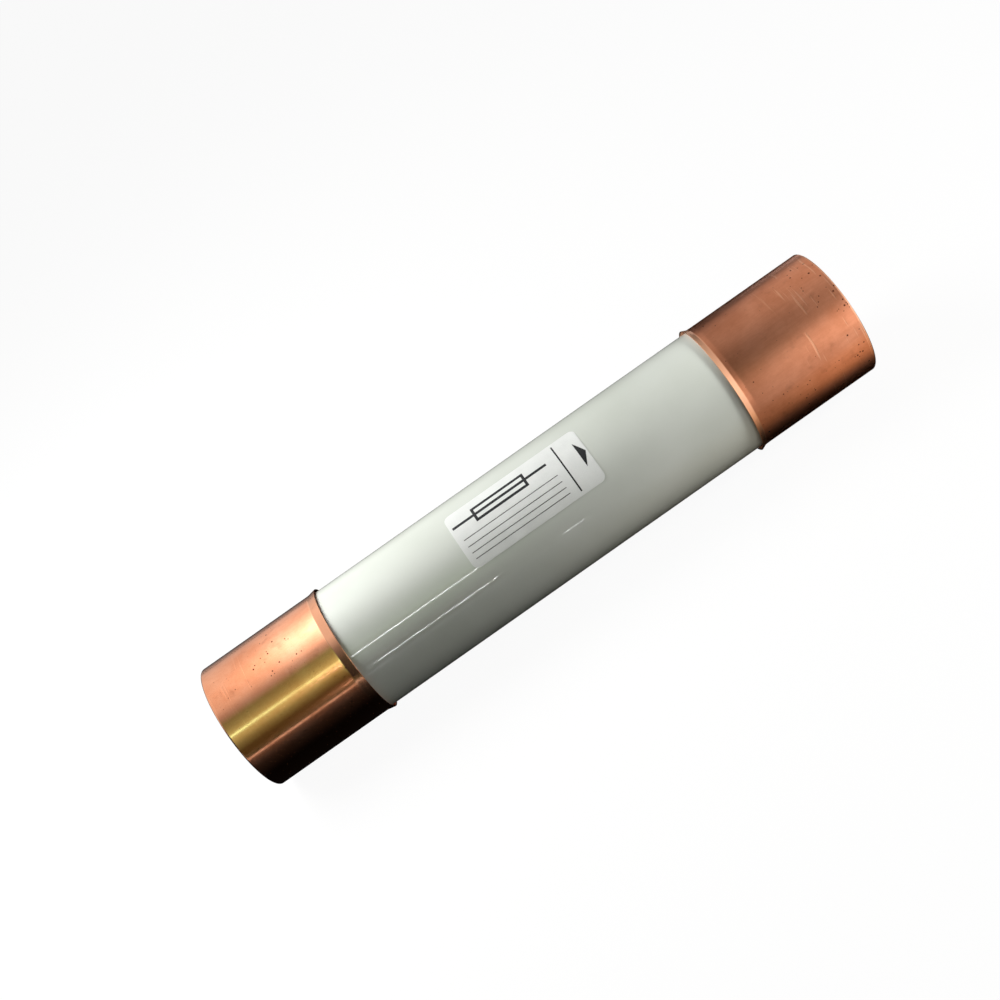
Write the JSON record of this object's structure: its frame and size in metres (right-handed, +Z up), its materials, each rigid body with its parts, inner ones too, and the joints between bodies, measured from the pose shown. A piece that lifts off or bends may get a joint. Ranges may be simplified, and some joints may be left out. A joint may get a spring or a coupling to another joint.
{
  "type": "current-limiting fuse",
  "caption": "High-voltage cartridge fuse: porcelain barrel, flared copper end caps, sand-filled star core with silver ribbon elements, spring striker at one end.",
  "frame": {"origin": "middle of the barrel on its axis, which is the centre of the bounding box", "axes": "+X along the barrel towards the striker end; +Z up with the fuse lying down; the label faces up and to -Y"},
  "size_m": [0.33, 0.0658, 0.0658],
  "materials": {
    "glazed_porcelain": "gloss white glaze, slightly grey-green",
    "copper_plain_end_cap": "bright drawn copper, lightly tarnished",
    "copper_striker_end_cap": "satin drawn copper, lightly tarnished",
    "brass_inner_caps": "plain drawn brass",
    "brass_plug": "plain drawn brass",
    "gasket_sheet": "dull pressed fibre and rubber sheet",
    "core_ceramic": "unglazed, matt",
    "copper_sheet": "plain rolled copper",
    "silver_ribbon": "bright silver strip",
    "tin_solder": "dull tin",
    "quartz_sand": "packed sand",
    "brass_striker": "turned brass",
    "nickel_plated_pin": "nickel plate, satin",
    "spring_steel": "oiled spring steel",
    "release_wire_steel": "bright drawn wire",
    "tinned_copper_wire": "tinned",
    "label_paper": "white self-adhesive label, satin"
  },
  "bodies": {
    "fuse": {"barrel": "glazed_porcelain", "filling_plug": "brass_plug", "fuse_element_1": "silver_ribbon", "fuse_element_2": "silver_ribbon", "fuse_element_3": "silver_ribbon", "label": "label_paper", "plain_end_cap": "copper_plain_end_cap", "plain_end_contact_spider": "copper_sheet", "plain_end_gasket": "gasket_sheet", "plain_end_inner_cap": "brass_inner_caps", "quartz_sand": "quartz_sand", "solder_spot_1": "tin_solder", "solder_spot_2": "tin_solder", "solder_spot_3": "tin_solder", "star_core": "core_ceramic", "striker_circuit_wire": "tinned_copper_wire", "striker_end_cap": "copper_striker_end_cap", "striker_end_contact_spider": "copper_sheet", "striker_end_gasket": "gasket_sheet", "striker_end_inner_cap": "brass_inner_caps", "striker_front_bush": "brass_striker", "striker_housing": "brass_striker", "striker_rear_insulator": "core_ceramic", "striker_release_wire": "release_wire_steel", "striker_spring": "spring_steel", "striker_terminal": "brass_striker"},
    "striker": {"striker_pin": "nickel_plated_pin"}
  },
  "joints": [
    {"name": "striker_slide", "type": "slide", "parent": "fuse", "child": "striker", "axis": [1, 0, 0], "range_m": [0, 0.02], "deforming": ["striker_spring"]}
  ]
}
